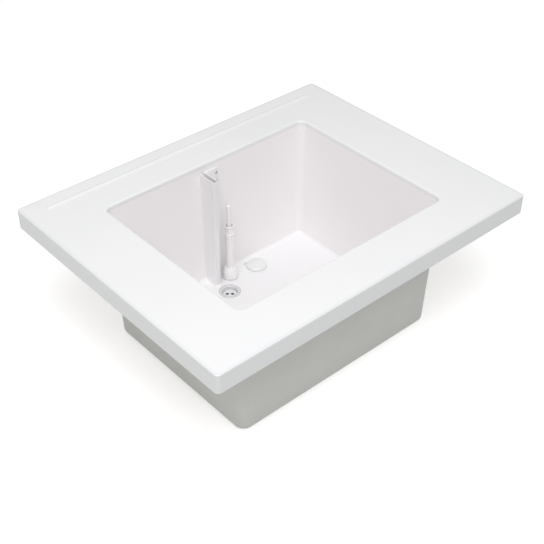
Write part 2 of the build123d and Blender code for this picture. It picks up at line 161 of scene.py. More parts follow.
def worktopFinish():
    finish, tree, shader = startFinish("worktopGelCoat", coat=0.25, coatRoughness=0.12)
    place = placeOf(tree)
    cloud = spread(tree, noise(tree, place, gelCoat["cloudScale"], 4), 0.35, 0.65)
    body = blendColour(tree, cloud, gelCoat["colour"], gelCoat["cloud"])
    axes = addNode(tree, "SeparateXYZ")
    tree.links.new(place, axes.inputs["Vector"])
    sideways = combine(tree, "SUBTRACT", combine(tree, "ABSOLUTE", axes.outputs["X"], 0), 0.372)
    frontwards = combine(tree, "SUBTRACT", combine(tree, "ABSOLUTE", axes.outputs["Y"], 0), 0.292)
    # painted shade: the outer 8 mm band and the side faces of the slab take the darker edge colour
    rim = spread(tree, combine(tree, "MAXIMUM", sideways, frontwards), 0.0, 0.008)
    useColour(tree, shader, blendColour(tree, rim, body, gelCoat["edge"]))
    rubbed = noise(tree, place, 14, 5, 0.6)
    useRoughness(tree, shader, spread(tree, rubbed, 0.3, 0.7, gelCoat["smooth"], gelCoat["dull"]))
    peel = noise(tree, place, gelCoat["peelScale"], 2)
    pits = spread(tree, noise(tree, place, 900, 1), 0.24, 0.3)
    relief(tree, shader, combine(tree, "MULTIPLY", peel, pits), gelCoat["peelDepth"], 0.5)
    return finish


bowl = {"colour": (0.972, 0.945, 0.952), "cloud": (0.96, 0.934, 0.942), "floor": (0.92, 0.922, 0.93),
        "mark": (0.89, 0.885, 0.88), "waste": (-0.016, 0.1205, 0.016), "markReach": (0.035, 0.075),
        "peelScale": 210, "peelDepth": 0.00003, "smooth": 0.34, "dull": 0.44}


def bowlFinish():
    finish, tree, shader = startFinish("basinInside", coat=0.2, coatRoughness=0.15)
    place = placeOf(tree)
    cloud = spread(tree, noise(tree, place, 7, 4), 0.35, 0.65)
    body = blendColour(tree, cloud, bowl["colour"], bowl["cloud"])
    axes = addNode(tree, "SeparateXYZ")
    tree.links.new(place, axes.inputs["Vector"])
    atFloor = spread(tree, axes.outputs["Z"], 0.0165, 0.026, 1.0, 0.0)
    body = blendColour(tree, atFloor, body, bowl["floor"])
    reach = addNode(tree, "VectorMath", operation="DISTANCE")
    reach.inputs[1].default_value = bowl["waste"]
    tree.links.new(place, reach.inputs[0])
    blur = combine(tree, "MULTIPLY", noise(tree, place, 40, 4), 0.03)
    nearWaste = spread(tree, combine(tree, "ADD", reach.outputs["Value"], blur), *bowl["markReach"], 0.55, 0.0)
    useColour(tree, shader, blendColour(tree, nearWaste, body, bowl["mark"]))
    scuffs = noise(tree, stretched(tree, place, (30, 4, 4), (0, 0, 0.6)), 5, 6, 0.65)
    useRoughness(tree, shader, spread(tree, scuffs, 0.3, 0.7, bowl["smooth"], bowl["dull"]))
    relief(tree, shader, noise(tree, place, bowl["peelScale"], 2), bowl["peelDepth"], 0.6)
    return finish


# the basin's outside is a shaded copy of the bowl moulding: its darker greenish grey is painted shade from the
# worktop overhang, while the cloud, flecks and grain are the surface's own
shadedOutside = {"colour": (0.765, 0.775, 0.745), "cloud": (0.725, 0.74, 0.705), "fleck": (0.84, 0.84, 0.82),
           "grainScale": 160, "grainDepth": 0.00012}


def shadedOutsideFinish():
    finish, tree, shader = startFinish("basinOutsidePaintedShade")
    place = placeOf(tree)
    cloud = spread(tree, noise(tree, place, 11, 5), 0.3, 0.7)
    body = blendColour(tree, cloud, shadedOutside["colour"], shadedOutside["cloud"])
    fleck = spread(tree, noise(tree, place, 700, 1), 0.62, 0.7, 0.0, 0.6)
    useColour(tree, shader, blendColour(tree, fleck, body, shadedOutside["fleck"]))
    grain = noise(tree, place, shadedOutside["grainScale"], 5, 0.6)
    useRoughness(tree, shader, spread(tree, grain, 0.3, 0.7, 0.45, 0.62))
    relief(tree, shader, grain, shadedOutside["grainDepth"], 0.5)
    return finish


def mouldedPlastic(name, colour, shade, smooth=0.25, dull=0.4, coat=0.0, grainScale=140, grainDepth=0.00002):
    finish, tree, shader = startFinish(name, coat=coat)
    place = placeOf(tree)
    flow = spread(tree, noise(tree, stretched(tree, place, (1, 1, 0.35)), 18, 3, 0.5, 0.2), 0.3, 0.7)
    useColour(tree, shader, blendColour(tree, flow, colour, shade))
    useRoughness(tree, shader, spread(tree, noise(tree, place, 90, 4), 0.3, 0.7, smooth, dull))
    relief(tree, shader, noise(tree, place, grainScale, 2), grainDepth, 0.5)
    return finish


def rubberFinish(name, colour, bloom):
    finish, tree, shader = startFinish(name, ior=1.45)
    place = placeOf(tree)
    dusty = spread(tree, noise(tree, place, 60, 6, 0.6), 0.35, 0.75, 0.0, 0.8)
    useColour(tree, shader, blendColour(tree, dusty, colour, bloom))
    useRoughness(tree, shader, spread(tree, noise(tree, place, 150, 3), 0.3, 0.7, 0.5, 0.72))
    relief(tree, shader, noise(tree, place, 1400, 3), 0.00004, 0.6)
    return finish


zinc = {"light": (0.66, 0.67, 0.68), "dark": (0.46, 0.48, 0.50), "spangle": 95}


def zincFinish():
    finish, tree, shader = startFinish("zincSteel", metallic=1.0)
    place = placeOf(tree)
    cells = addNode(tree, "TexVoronoi")
    cells.inputs["Scale"].default_value = zinc["spangle"]
    tree.links.new(place, cells.inputs["Vector"])
    shadeOfCell = addNode(tree, "SeparateColor")
    tree.links.new(cells.outputs["Color"], shadeOfCell.inputs["Color"])
    useColour(tree, shader, blendColour(tree, shadeOfCell.outputs["Red"], zinc["light"], zinc["dark"]))
    useRoughness(tree, shader, spread(tree, shadeOfCell.outputs["Green"], 0, 1, 0.28, 0.5))
    relief(tree, shader, noise(tree, place, 320, 3), 0.00003, 0.5)
    return finish


def brassFinish():
    finish, tree, shader = startFinish("insertBrass", metallic=1.0)
    place = placeOf(tree)
    stain = spread(tree, noise(tree, place, 120, 5), 0.3, 0.7)
    useColour(tree, shader, blendColour(tree, stain, (0.62, 0.44, 0.19), (0.48, 0.33, 0.14)))
    useRoughness(tree, shader, spread(tree, stain, 0, 1, 0.25, 0.42))
    thread = addNode(tree, "TexWave", bands_direction="Z", wave_profile="TRI")
    thread.inputs["Scale"].default_value = 160
    tree.links.new(place, thread.inputs["Vector"])
    relief(tree, shader, thread.outputs["Fac"], 0.0004, 0.7)
    return finish


board = {"pale": (0.62, 0.46, 0.28), "dark": (0.44, 0.30, 0.17), "glue": (0.22, 0.14, 0.08), "ply": 0.003}


def boardFinish(name, along):
    finish, tree, shader = startFinish(name)
    place = placeOf(tree)
    scale = (2.5, 38, 38) if along == "X" else (38, 2.5, 38)
    rings = noise(tree, stretched(tree, place, scale), 3, 6, 0.6, 1.2)
    body = blendColour(tree, spread(tree, rings, 0.35, 0.65), board["pale"], board["dark"])
    axes = addNode(tree, "SeparateXYZ")
    tree.links.new(place, axes.inputs["Vector"])
    layer = combine(tree, "PINGPONG", axes.outputs["Z"], board["ply"] / 2)
    glueLine = spread(tree, layer, 0.0, 0.00025, 0.75, 0.0)
    useColour(tree, shader, blendColour(tree, glueLine, body, board["glue"]))
    useRoughness(tree, shader, spread(tree, rings, 0.3, 0.7, 0.5, 0.75))
    relief(tree, shader, rings, 0.0003, 0.5)
    return finish


finishes = {
    "worktop": worktopFinish(),
    "bowl": bowlFinish(),
    "outsideShade": shadedOutsideFinish(),
    "duct": mouldedPlastic("ductPlastic", (0.925, 0.92, 0.928), (0.905, 0.90, 0.91), 0.28, 0.34,
                           coat=0.15, grainDepth=0.00001),
    "waste": mouldedPlastic("wastePlastic", (0.70, 0.70, 0.72), (0.66, 0.66, 0.68), 0.2, 0.36, coat=0.3),
    "strainer": mouldedPlastic("strainerPlastic", (0.82, 0.815, 0.83), (0.78, 0.78, 0.80), 0.18, 0.32,
                               coat=0.3),
    "sump": mouldedPlastic("sumpPlastic", (0.20, 0.21, 0.22), (0.15, 0.16, 0.17), 0.35, 0.55, grainScale=400),
    "stopper": mouldedPlastic("stopperPlastic", (0.945, 0.93, 0.933), (0.925, 0.912, 0.915), 0.14, 0.28,
                              coat=0.5),
    "handle": mouldedPlastic("handlePlastic", (0.95, 0.935, 0.938), (0.93, 0.918, 0.92), 0.16, 0.28,
                             coat=0.4),
    "cover": mouldedPlastic("coverPlastic", (0.87, 0.885, 0.875), (0.83, 0.85, 0.835), 0.12, 0.24, coat=0.6),
    "bell": rubberFinish("stopperRubber", (0.93, 0.912, 0.915), (0.95, 0.94, 0.94)),
    "seal": rubberFinish("sealRubber", (0.045, 0.046, 0.048), (0.11, 0.11, 0.115)),
    "bead": rubberFinish("bondingBead", (0.90, 0.89, 0.885), (0.86, 0.85, 0.845)),
    "zinc": zincFinish(),
    "brass": brassFinish(),
    "boardX": boardFinish("railBoardLong", "X"),
    "boardY": boardFinish("railBoardShort", "Y"),
}
print("finishes made:", len(finishes))


# mesh helpers
def firstRing(bm, outline, steps):
    (cx, cy), (length, width), radius, height = outline
    corners = bmesh.ops.create_grid(bm, x_segments=1, y_segments=1, size=0.5)["verts"]
    bmesh.ops.scale(bm, vec=(length * mm, width * mm, 1), verts=corners)
    bmesh.ops.bevel(bm, geom=corners, offset=radius * mm, offset_type="OFFSET", segments=steps,
                    profile=0.5, affect="VERTICES", material=-1)
    bmesh.ops.translate(bm, vec=(cx * mm, cy * mm, height * mm), verts=bm.verts)
    return bm.faces[:][0]


def reshape(verts, old, new):
    # each corner's arc keeps its own points, so the walls between two outlines stay true
    for vert in verts:
        place = []
        for axis in (0, 1):
            offset = vert.co[axis] / mm - old[0][axis]
            side = 1 if offset > 0 else -1
            arc = offset - side * (old[1][axis] / 2 - old[2])
            place.append(new[0][axis] + side * (new[1][axis] / 2 - new[2]) + arc * new[2] / old[2])
        vert.co = (place[0] * mm, place[1] * mm, new[3] * mm)


def walls(bm, outlines, steps, startClosed=False, endClosed=False):
    face = firstRing(bm, outlines[0], steps)
    edges = list(face.edges)
    if not startClosed:
        bmesh.ops.delete(bm, geom=[face], context="FACES_ONLY")
    for old, new in zip(outlines, outlines[1:]):
        made = bmesh.ops.extrude_edge_only(bm, edges=edges)["geom"]
        edges = [e for e in made if isinstance(e, bmesh.types.BMEdge)]
        reshape([v for v in made if isinstance(v, bmesh.types.BMVert)], old, new)
        level = new[3] * mm
        edges = [e for e in edges if len(e.link_faces) == 1
                 and all(abs(v.co.z - level) < 1e-7 for v in e.verts)]
    if endClosed:
        bmesh.ops.contextual_create(bm, geom=edges)
    bmesh.ops.remove_doubles(bm, verts=bm.verts, dist=1e-6)
    bmesh.ops.recalc_face_normals(bm, faces=bm.faces)


def soften(bm, radius, steps, pick):
    edges = [e for e in bm.edges if len(e.link_faces) == 2 and e.calc_face_angle() > 0.3
             and all(pick(v.co) for v in e.verts)]
    bmesh.ops.bevel(bm, geom=edges, offset=radius * mm, offset_type="OFFSET", segments=steps,
                    profile=0.5, affect="EDGES", material=-1, clamp_overlap=True)


def turned(profile, centre, turns=64):
    bm = bmesh.new()
    verts = [bm.verts.new((radius * mm, 0, height * mm)) for radius, height in profile]
    edges = [bm.edges.new(pair) for pair in zip(verts, verts[1:])]
    bmesh.ops.spin(bm, geom=verts + edges, cent=(0, 0, 0), axis=(0, 0, 1), angle=math.tau,
                   steps=turns, use_merge=True)
    bmesh.ops.remove_doubles(bm, verts=bm.verts, dist=1e-6)
    bmesh.ops.translate(bm, vec=(centre[0] * mm, centre[1] * mm, 0), verts=bm.verts)
    bmesh.ops.recalc_face_normals(bm, faces=bm.faces)
    return bm


def block(bm, low, high):
    made = bmesh.ops.create_cube(bm, size=1)["verts"]
    bmesh.ops.scale(bm, vec=[(b - a) * mm for a, b in zip(low, high)], verts=made)
    bmesh.ops.translate(bm, vec=[(a + b) / 2 * mm for a, b in zip(low, high)], verts=made)
    return made


def peg(bm, centre, radius, low, high, steps=48):
    made = bmesh.ops.create_cone(bm, cap_ends=True, segments=steps, radius1=radius * mm, radius2=radius * mm,
                                 depth=(high - low) * mm)["verts"]
    bmesh.ops.translate(bm, vec=(centre[0] * mm, centre[1] * mm, (low + high) / 2 * mm), verts=made)
    return made


def addPiece(name, bm, body, surface, replaced=(), sharp=34, weighted=True):
    mesh = bpy.data.meshes.new(name)
    bm.to_mesh(mesh)
    bm.free()
    piece = bpy.data.objects.new(name, mesh)
    scene.collection.objects.link(piece)
    for finish in surface if isinstance(surface, (list, tuple)) else [surface]:
        mesh.materials.append(finish)
    mesh.shade_smooth()
    mesh.set_sharp_from_angle(angle=math.radians(sharp))
    if weighted:
        even = piece.modifiers.new("evenShading", "WEIGHTED_NORMAL")
        even.keep_sharp = True
    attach(piece, body)
    if replaced:
        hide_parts(*replaced)
    return piece


def carve(bm, cutter, operation="DIFFERENCE"):
    holder = bpy.data.objects.new("holder", bpy.data.meshes.new("holder"))
    tool = bpy.data.objects.new("tool", bpy.data.meshes.new("tool"))
    for thing, shape in ((holder, bm), (tool, cutter)):
        shape.to_mesh(thing.data)
        scene.collection.objects.link(thing)
    cut = holder.modifiers.new("cut", "BOOLEAN")
    cut.operation, cut.object, cut.solver, cut.use_self = operation, tool, "EXACT", True
    made = bpy.data.meshes.new_from_object(holder.evaluated_get(bpy.context.evaluated_depsgraph_get()))
    bm.clear()
    bm.from_mesh(made)
    cutter.free()
    for thing in (holder, tool):
        data = thing.data
        bpy.data.objects.remove(thing)
        bpy.data.meshes.remove(data)
    bpy.data.meshes.remove(made)


# worktop
worktop = {"size": (760, 600), "corner": 9, "foot": 260, "footEdge": 0.8, "top": 300, "underside": 292,
           "wall": 8, "edge": 2.5, "mouth": (503, 395), "centre": (-2, -5), "mouthCorner": 15, "mouthEdge": 4,
           "cornerSteps": 8, "beadPlace": 263, "beadHalf": 336, "beadReach": 7.5, "beadRise": 2.6,
           "beadCuts": 12, "beadEnds": (0, 1.5, 3, 4.5, 6, 9)}


def raiseBead(bm):
    reach, half, count = worktop["beadReach"], worktop["beadHalf"], worktop["beadCuts"]
    level = (worktop["top"] - 0.01) * mm
    cuts = [(Vector((0, worktop["beadPlace"] + reach * (2 * n / count - 1), 0)), Vector((0, 1, 0)))
            for n in range(count + 1)]
    cuts += [(Vector((side * (half - step), 0, 0)), Vector((1, 0, 0)))
             for side in (-1, 1) for step in worktop["beadEnds"]]
    for place, direction in cuts:
        top = [f for f in bm.faces if f.calc_center_median().z > level and f.normal.z > 0.99]
        geom = top + list({e for f in top for e in f.edges}) + list({v for f in top for v in f.verts})
        bmesh.ops.bisect_plane(bm, geom=geom, plane_co=place * mm, plane_no=direction, dist=1e-7)
    for vert in bm.verts:
        across = 1 - abs(vert.co.y / mm - worktop["beadPlace"]) / reach
        along = min(1, (half - abs(vert.co.x / mm)) / worktop["beadEnds"][-1])
        if vert.co.z > level and across > 0 and along > 0:
            share = math.sin(across * math.pi / 2) ** 2 * math.sin(along * math.pi / 2)
            vert.co.z += worktop["beadRise"] * share * mm


def makeWorktop():
    bm = bmesh.new()
    size, mouth, steps = worktop["size"], worktop["mouth"], worktop["cornerSteps"]
    inner = [side - 2 * worktop["wall"] for side in size]
    outlines = [
        ((0, 0), size, worktop["corner"], worktop["foot"]),
        ((0, 0), size, worktop["corner"], worktop["top"]),
        (worktop["centre"], mouth, worktop["mouthCorner"], worktop["top"]),
        (worktop["centre"], mouth, worktop["mouthCorner"], worktop["underside"]),
        ((0, 0), inner, worktop["corner"] / 2, worktop["underside"]),
        ((0, 0), inner, worktop["corner"] / 2, worktop["foot"]),
    ]
    walls(bm, outlines + outlines[:1], steps)
    top, foot = worktop["top"] * mm, worktop["foot"] * mm
    soften(bm, worktop["edge"], 5, lambda p: abs(p.z - top) < 1e-5 and (abs(p.x) > 0.3 or abs(p.y) > 0.25))
    soften(bm, worktop["mouthEdge"], 8, lambda p: abs(p.z - top) < 1e-5 and abs(p.x) < 0.26 and abs(p.y) < 0.21)
    soften(bm, worktop["footEdge"], 3, lambda p: abs(p.z - foot) < 1e-5)
    raiseBead(bm)
    return addPiece("worktopShell", bm, "bench", finishes["worktop"], ["worktop"])


makeWorktop()
print("worktop made")


# basin
basin = {"centre": (-2, -5), "foot": (497, 389), "outer": (514, 406), "flange": (559, 451), "mouth": (503, 395),
         "floor": (486, 378), "outerCorner": 22, "innerCorner": 15, "flangeLow": 285, "flangeTop": 290,
         "floorLevel": 16, "cove": 8, "footEdge": 10, "cornerSteps": 10, "pocketRim": 20, "pocketTop": 10,
         "pocketCorner": 7, "rib": 6, "ribPitch": 236, "crossRib": -83, "waste": (-16, 120.5),
         "wasteHole": 17.7, "rimSeat": 23.3, "rimSeatLow": 13.3, "slot": (-25, 155, -16.5, 164),
         "cutLow": 9, "cutTop": 18}


def makeBasin():
    bm = bmesh.new()
    centre, steps = basin["centre"], basin["cornerSteps"]
    outlines = [
        (centre, basin["foot"], basin["outerCorner"], 0),
        (centre, basin["outer"], basin["outerCorner"], basin["flangeLow"]),
        (centre, basin["flange"], basin["outerCorner"], basin["flangeLow"]),
        (centre, basin["flange"], basin["outerCorner"], basin["flangeTop"]),
        (centre, basin["mouth"], basin["innerCorner"], basin["flangeTop"]),
        (centre, basin["floor"], basin["innerCorner"], basin["floorLevel"]),
    ]
    walls(bm, outlines, steps, startClosed=True, endClosed=True)
    soften(bm, basin["footEdge"], 7, lambda p: abs(p.z) < 1e-5)
    soften(bm, basin["cove"], 8, lambda p: abs(p.z - basin["floorLevel"] * mm) < 1e-5)
    carve(bm, pocketCutter())
    # inside faces take the bowl finish; outside faces take the finish whose darker colour is painted shade
    for face in bm.faces:
        face.material_index = 0 if insideBowl(face) else 1
    return addPiece("basinShell", bm, "bench", [finishes["bowl"], finishes["outsideShade"]], ["basin"])


def insideBowl(face):
    place = face.calc_center_median()
    outward = Vector((place.x - basin["centre"][0] * mm, place.y - basin["centre"][1] * mm, 0))
    rise = min(1, max(0, (place.z / mm - basin["floorLevel"]) / (basin["flangeTop"] - basin["floorLevel"])))
    halves = [(f + (m - f) * rise) / 2 + 1.5 for f, m in zip(basin["floor"], basin["mouth"])]
    within = abs(outward.x) < halves[0] * mm and abs(outward.y) < halves[1] * mm
    facesIn = face.normal.dot(outward) < 0.01 * outward.length
    return within and facesIn and place.z > (basin["floorLevel"] - 2) * mm


def pocketCutter():
    cutter = bmesh.new()
    halfX, halfY = (side / 2 - basin["pocketRim"] for side in basin["foot"])
    cx, cy = basin["centre"]
    rib, pitch = basin["rib"] / 2, basin["ribPitch"] / 2
    columns = ((-halfX, -pitch - rib), (-pitch + rib, pitch - rib), (pitch + rib, halfX))
    rows = ((-halfY, basin["crossRib"] - cy - rib), (basin["crossRib"] - cy + rib, halfY))
    for left, right in columns:
        for front, back in rows:
            cell = block(cutter, (cx + left, cy + front, -5), (cx + right, cy + back, basin["pocketTop"]))
            edges = {e for v in cell for e in v.link_edges}
            upright = [e for e in edges if abs(e.verts[0].co.z - e.verts[1].co.z) > 1e-4]
            bmesh.ops.bevel(cutter, geom=upright, offset=basin["pocketCorner"] * mm, offset_type="OFFSET",
                            segments=5, profile=0.5, affect="EDGES", material=-1)
    low, top = basin["cutLow"], basin["cutTop"]
    peg(cutter, basin["waste"], basin["wasteHole"], low, 15, 64)
    peg(cutter, basin["waste"], basin["rimSeat"], basin["rimSeatLow"], top, 64)
    left, front, right, back = basin["slot"]
    block(cutter, (left, front, low), (right, back, top))
    bmesh.ops.recalc_face_normals(cutter, faces=cutter.faces)
    return cutter


makeBasin()


bondLine = {"low": 289.9, "high": 292.1, "outer": (551, 443), "inner": (503.6, 395.6), "corner": 22,
            "innerCorner": 15.3}


def makeBondLine():
    bm = bmesh.new()
    centre = basin["centre"]
    outer = (centre, bondLine["outer"], bondLine["corner"])
    inner = (centre, bondLine["inner"], bondLine["innerCorner"])
    low, high = bondLine["low"], bondLine["high"]
    outlines = [(*outer, low), (*outer, high), (*inner, high), (*inner, low)]
    walls(bm, outlines + outlines[:1], basin["cornerSteps"])
    return addPiece("bondLine", bm, "bench", finishes["bead"], ["basin_seal"])


makeBondLine()
print("basin made")


# overflow duct and its tab
duct = {"left": -27, "right": -14.5, "top": 280, "foot": 16, "frontTop": 146.5, "frontFoot": 153,
        "backTop": 194.4, "backFoot": 186.4, "wall": 2, "edge": 1.6, "rim": 0.5}


def makeDuct():
    bm = bmesh.new()
    places = [(duct["left"], duct["backFoot"]), (duct["left"], duct["frontFoot"]),
              (duct["right"], duct["frontFoot"]), (duct["right"], duct["backFoot"])]
    verts = [bm.verts.new((x * mm, y * mm, duct["foot"] * mm)) for x, y in places]
    edges = [bm.edges.new(pair) for pair in zip(verts, verts[1:])]
    made = bmesh.ops.extrude_edge_only(bm, edges=edges)["geom"]
    upper = [v for v in made if isinstance(v, bmesh.types.BMVert)]
    bmesh.ops.translate(bm, vec=(0, 0, (duct["top"] - duct["foot"]) * mm), verts=upper)
    for vert in upper:
        front = vert.co.y < 0.17
        vert.co.y = (duct["frontTop"] if front else duct["backTop"]) * mm
    bmesh.ops.recalc_face_normals(bm, faces=bm.faces)
    corners = [e for e in bm.edges if len(e.link_faces) == 2]
    bmesh.ops.bevel(bm, geom=corners, offset=duct["edge"] * mm, offset_type="OFFSET", segments=5, profile=0.5,
                    affect="EDGES", material=-1)
    middle = Vector(((duct["left"] + duct["right"]) / 2 * mm, 0.17, 0))
    outward = sum(f.normal.dot((f.calc_center_median() - middle) * Vector((1, 1, 0))) for f in bm.faces)
    bmesh.ops.solidify(bm, geom=bm.faces[:], thickness=duct["wall"] * mm * (1 if outward > 0 else -1))
    bmesh.ops.recalc_face_normals(bm, faces=bm.faces)
    soften(bm, duct["rim"], 3, lambda p: p.z > (duct["top"] - 0.2) * mm)
    return addPiece("overflowDuct", bm, "bench", finishes["duct"], ["overflow_duct"])


tab = {"origin": (-14.5, 192.5, 290), "lean": (0, -274, 8.5), "size": (34, 40), "corner": 5, "thickness": 2.4,
       "middle": (17, -30), "edge": 0.7, "screws": ((27, -20.5), (27, -39.5)), "head": 3.4, "headRise": 1.6,
       "shank": 1.6, "shankLength": 5, "cross": 2.1, "crossHalf": 0.4, "crossFloor": 0.7}


def tabFrame():
    out = Vector(tab["lean"]).normalized()
    right = Vector((1, 0, 0))
    up = out.cross(right)
    turn = Matrix((right, up, out)).transposed().to_4x4()
    return Matrix.Translation(Vector(tab["origin"]) * mm) @ turn


def makeTab():
    bm = bmesh.new()
    outline = (tab["middle"], tab["size"], tab["corner"])
    walls(bm, [(*outline, 0), (*outline, tab["thickness"])], 6, startClosed=True, endClosed=True)
    soften(bm, tab["edge"], 4, lambda p: p.z > (tab["thickness"] - 0.01) * mm)
    bmesh.ops.transform(bm, matrix=tabFrame(), verts=bm.verts)
    return addPiece("ductTab", bm, "bench", finishes["duct"], ["duct_tab"])


def makeTabScrews():
    head, rise, shank, length = tab["head"], tab["headRise"], tab["shank"], tab["shankLength"]
    bm = turned([
        (0, -length), (shank, -length), (shank, 0), (head, 0), (head, rise * 0.35), (head * 0.9, rise * 0.7),
        (head * 0.66, rise * 0.93), (0, rise),
    ], (0, 0), 32)
    cross = bmesh.new()
    reach, half, floor = tab["cross"], tab["crossHalf"], tab["crossFloor"]
    block(cross, (-reach, -half, floor), (reach, half, 3))
    block(cross, (-half, -reach, floor), (half, reach, 3))
    carve(bm, cross)
    first = list(bm.verts)
    copy = bmesh.ops.duplicate(bm, geom=bm.verts[:] + bm.edges[:] + bm.faces[:])["geom"]
    second = [v for v in copy if isinstance(v, bmesh.types.BMVert)]
    for verts, (x, y) in zip((first, second), tab["screws"]):
        bmesh.ops.rotate(bm, cent=(0, 0, 0), matrix=Matrix.Rotation(0.4 + y, 3, "Z"), verts=verts)
        bmesh.ops.translate(bm, vec=(x * mm, y * mm, tab["thickness"] * mm), verts=verts)
    bmesh.ops.transform(bm, matrix=tabFrame(), verts=bm.verts)
    return addPiece("tabScrews", bm, "bench", finishes["zinc"], ["tab_screws"])


makeDuct()
makeTab()
makeTabScrews()
print("overflow made")


# waste: dish and strainer
waste = {"centre": (-16, 120.5), "rim": 23, "mouth": 20.5, "throat": 15.9, "bore": 14, "spigot": 17.4,
         "top": 16.7, "shoulder": 14.3, "seat": 7.2, "foot": 1.5, "weeps": 6, "weep": 1.2, "weepLevel": 5,
         "weepReach": (13, 19)}


def makeDish():
    rim, top, mouth, throat = waste["rim"], waste["top"], waste["mouth"], waste["throat"]
    bore, spigot, seat, foot, shoulder = (waste[key] for key in ("bore", "spigot", "seat", "foot", "shoulder"))
    bm = turned([
        (bore, seat), (bore, foot), (spigot, foot), (spigot, shoulder), (rim, shoulder), (rim, top - 1.1),
        (rim - 0.3, top - 0.45), (rim - 0.9, top), (mouth + 0.6, top), (mouth - 0.6, top - 0.03),
        (18.7, top - 0.3), (17.6, top - 0.75), (16.8, top - 1.3), (16.2, top - 1.9),
        (throat, shoulder - 0.1), (throat, seat), (bore, seat),
    ], waste["centre"], 96)
    weeps = bmesh.new()
    middle = [value * mm for value in (*waste["centre"], waste["weepLevel"])]
    for n in range(waste["weeps"]):
        hole = peg(weeps, (0, 0), waste["weep"], *waste["weepReach"], 16)
        turn = math.tau * n / waste["weeps"]
        bmesh.ops.rotate(weeps, cent=(0, 0, 0), matrix=Matrix.Rotation(math.pi / 2, 3, "Y"), verts=hole)
        bmesh.ops.rotate(weeps, cent=(0, 0, 0), matrix=Matrix.Rotation(turn, 3, "Z"), verts=hole)
        bmesh.ops.translate(weeps, vec=middle, verts=hole)
    carve(bm, weeps)
    return addPiece("drainDish", bm, "bench", finishes["waste"], ["drain_dish"])


strainer = {"radius": 15.5, "low": 7.2, "thickness": 1.8, "hole": 3.6, "holeReach": 5.6, "turn": -41,
            "knob": 1.2, "knobTop": 11.3}


def makeStrainer():
    low, high, radius = strainer["low"], strainer["low"] + strainer["thickness"], strainer["radius"]
    knob, knobTop = strainer["knob"], strainer["knobTop"]
    bm = turned([
        (0, low), (radius - 0.3, low), (radius, low + 0.3), (radius, high - 0.5), (radius - 0.25, high - 0.1),
        (radius - 0.6, high), (radius - 1.6, high), (radius - 2.0, high - 0.25), (radius - 2.8, high - 0.25),
        (radius - 3.2, high), (knob + 0.5, high), (knob + 0.1, high + 0.3), (knob * 0.9, high + 1.0),
        (knob, knobTop - 0.5), (knob * 0.75, knobTop - 0.15), (knob * 0.35, knobTop), (0, knobTop),
    ], waste["centre"], 64)
    holes = bmesh.new()
    turn = math.radians(strainer["turn"])
    for reach in (-strainer["holeReach"], strainer["holeReach"]):
        place = (waste["centre"][0] + reach * math.cos(turn), waste["centre"][1] + reach * math.sin(turn))
        peg(holes, place, strainer["hole"], 5, 13, 40)
    carve(bm, holes)
    return addPiece("strainerPlate", bm, "strainer_body", finishes["strainer"], ["strainer"])


makeDish()
makeStrainer()
print("waste made")


# stopper with its long handle
stopper = {"centre": (17, 158), "floor": 16, "tube": 9, "tubeLow": 25, "tubeTop": 129, "neck": 7.4,
           "neckTop": 147, "bore": 6.2, "rod": 4.75, "rodLow": 39, "rodTop": 203, "collar": 9.9, "waist": 8.8,
           "collarTop": 153, "gripPitch": 15, "gripTurn": 3.8, "gripRim": 0.12, "gripDepth": 0.35}


def makeBell():
    low = stopper["floor"]
    bm = turned([
        (0, low + 9), (0, low), (14.6, low), (15.5, low + 0.5), (17.4, low + 4.6), (18, low + 6.5),
        (18, low + 7.6), (17.5, low + 8.2), (17.6, low + 9.0), (17.5, low + 12), (16.9, low + 16),
        (15.8, low + 20), (14.4, low + 23.6), (12.9, low + 26.8), (11.9, low + 28.8), (11, low + 29.8),
        (10, low + 30), (stopper["tube"], low + 29.4), (stopper["tube"], low + 9), (0, low + 9),
    ], stopper["centre"], 72)
    return addPiece("stopperBell", bm, "stopper", finishes["bell"], ["stopper_foot"])


def makeTube():
    low, tube, top = stopper["tubeLow"], stopper["tube"], stopper["tubeTop"]
    neck, neckTop, bore = stopper["neck"], stopper["neckTop"], stopper["bore"]
    bm = turned([
        (0, low), (tube, low), (tube, 50.5), (tube - 0.35, 51), (tube - 0.35, 52.2), (tube, 52.7),
        (tube, top - 9), (tube - 0.3, top - 8.6), (tube - 0.3, top - 7.8), (tube, top - 7.4), (tube, top - 0.6),
        (tube - 0.5, top - 0.1), (neck, top - 0.1), (neck, neckTop - 0.4), (neck - 0.4, neckTop),
        (bore, neckTop), (bore, low + 3), (0, low + 3),
    ], stopper["centre"], 64)
    return addPiece("stopperTube", bm, "stopper", finishes["stopper"], ["stopper_tube"])


def makeRod():
    rod, low, top = stopper["rod"], stopper["rodLow"], stopper["rodTop"]
    bm = turned([
        (0, low), (5.5, low), (5.9, low + 0.4), (5.9, low + 2.2), (5.3, low + 2.6), (5.3, low + 3.6),
        (5.9, low + 4), (5.9, low + 5.7), (5.6, low + 6), (rod, low + 6), (rod, top - 16),
        (rod - 0.35, top - 15.6), (rod - 0.35, top - 14.6), (rod, top - 14.2), (rod, top - 12),
        (rod - 0.35, top - 11.6), (rod - 0.35, top - 10.6), (rod, top - 10.2), (rod, top - 3.4),
        (rod - 0.3, top - 2), (rod - 1.2, top - 0.8), (rod - 2.6, top - 0.15), (0, top),
    ], stopper["centre"], 48)
    return addPiece("handleRod", bm, "handle", finishes["handle"], ["handle_rod"])


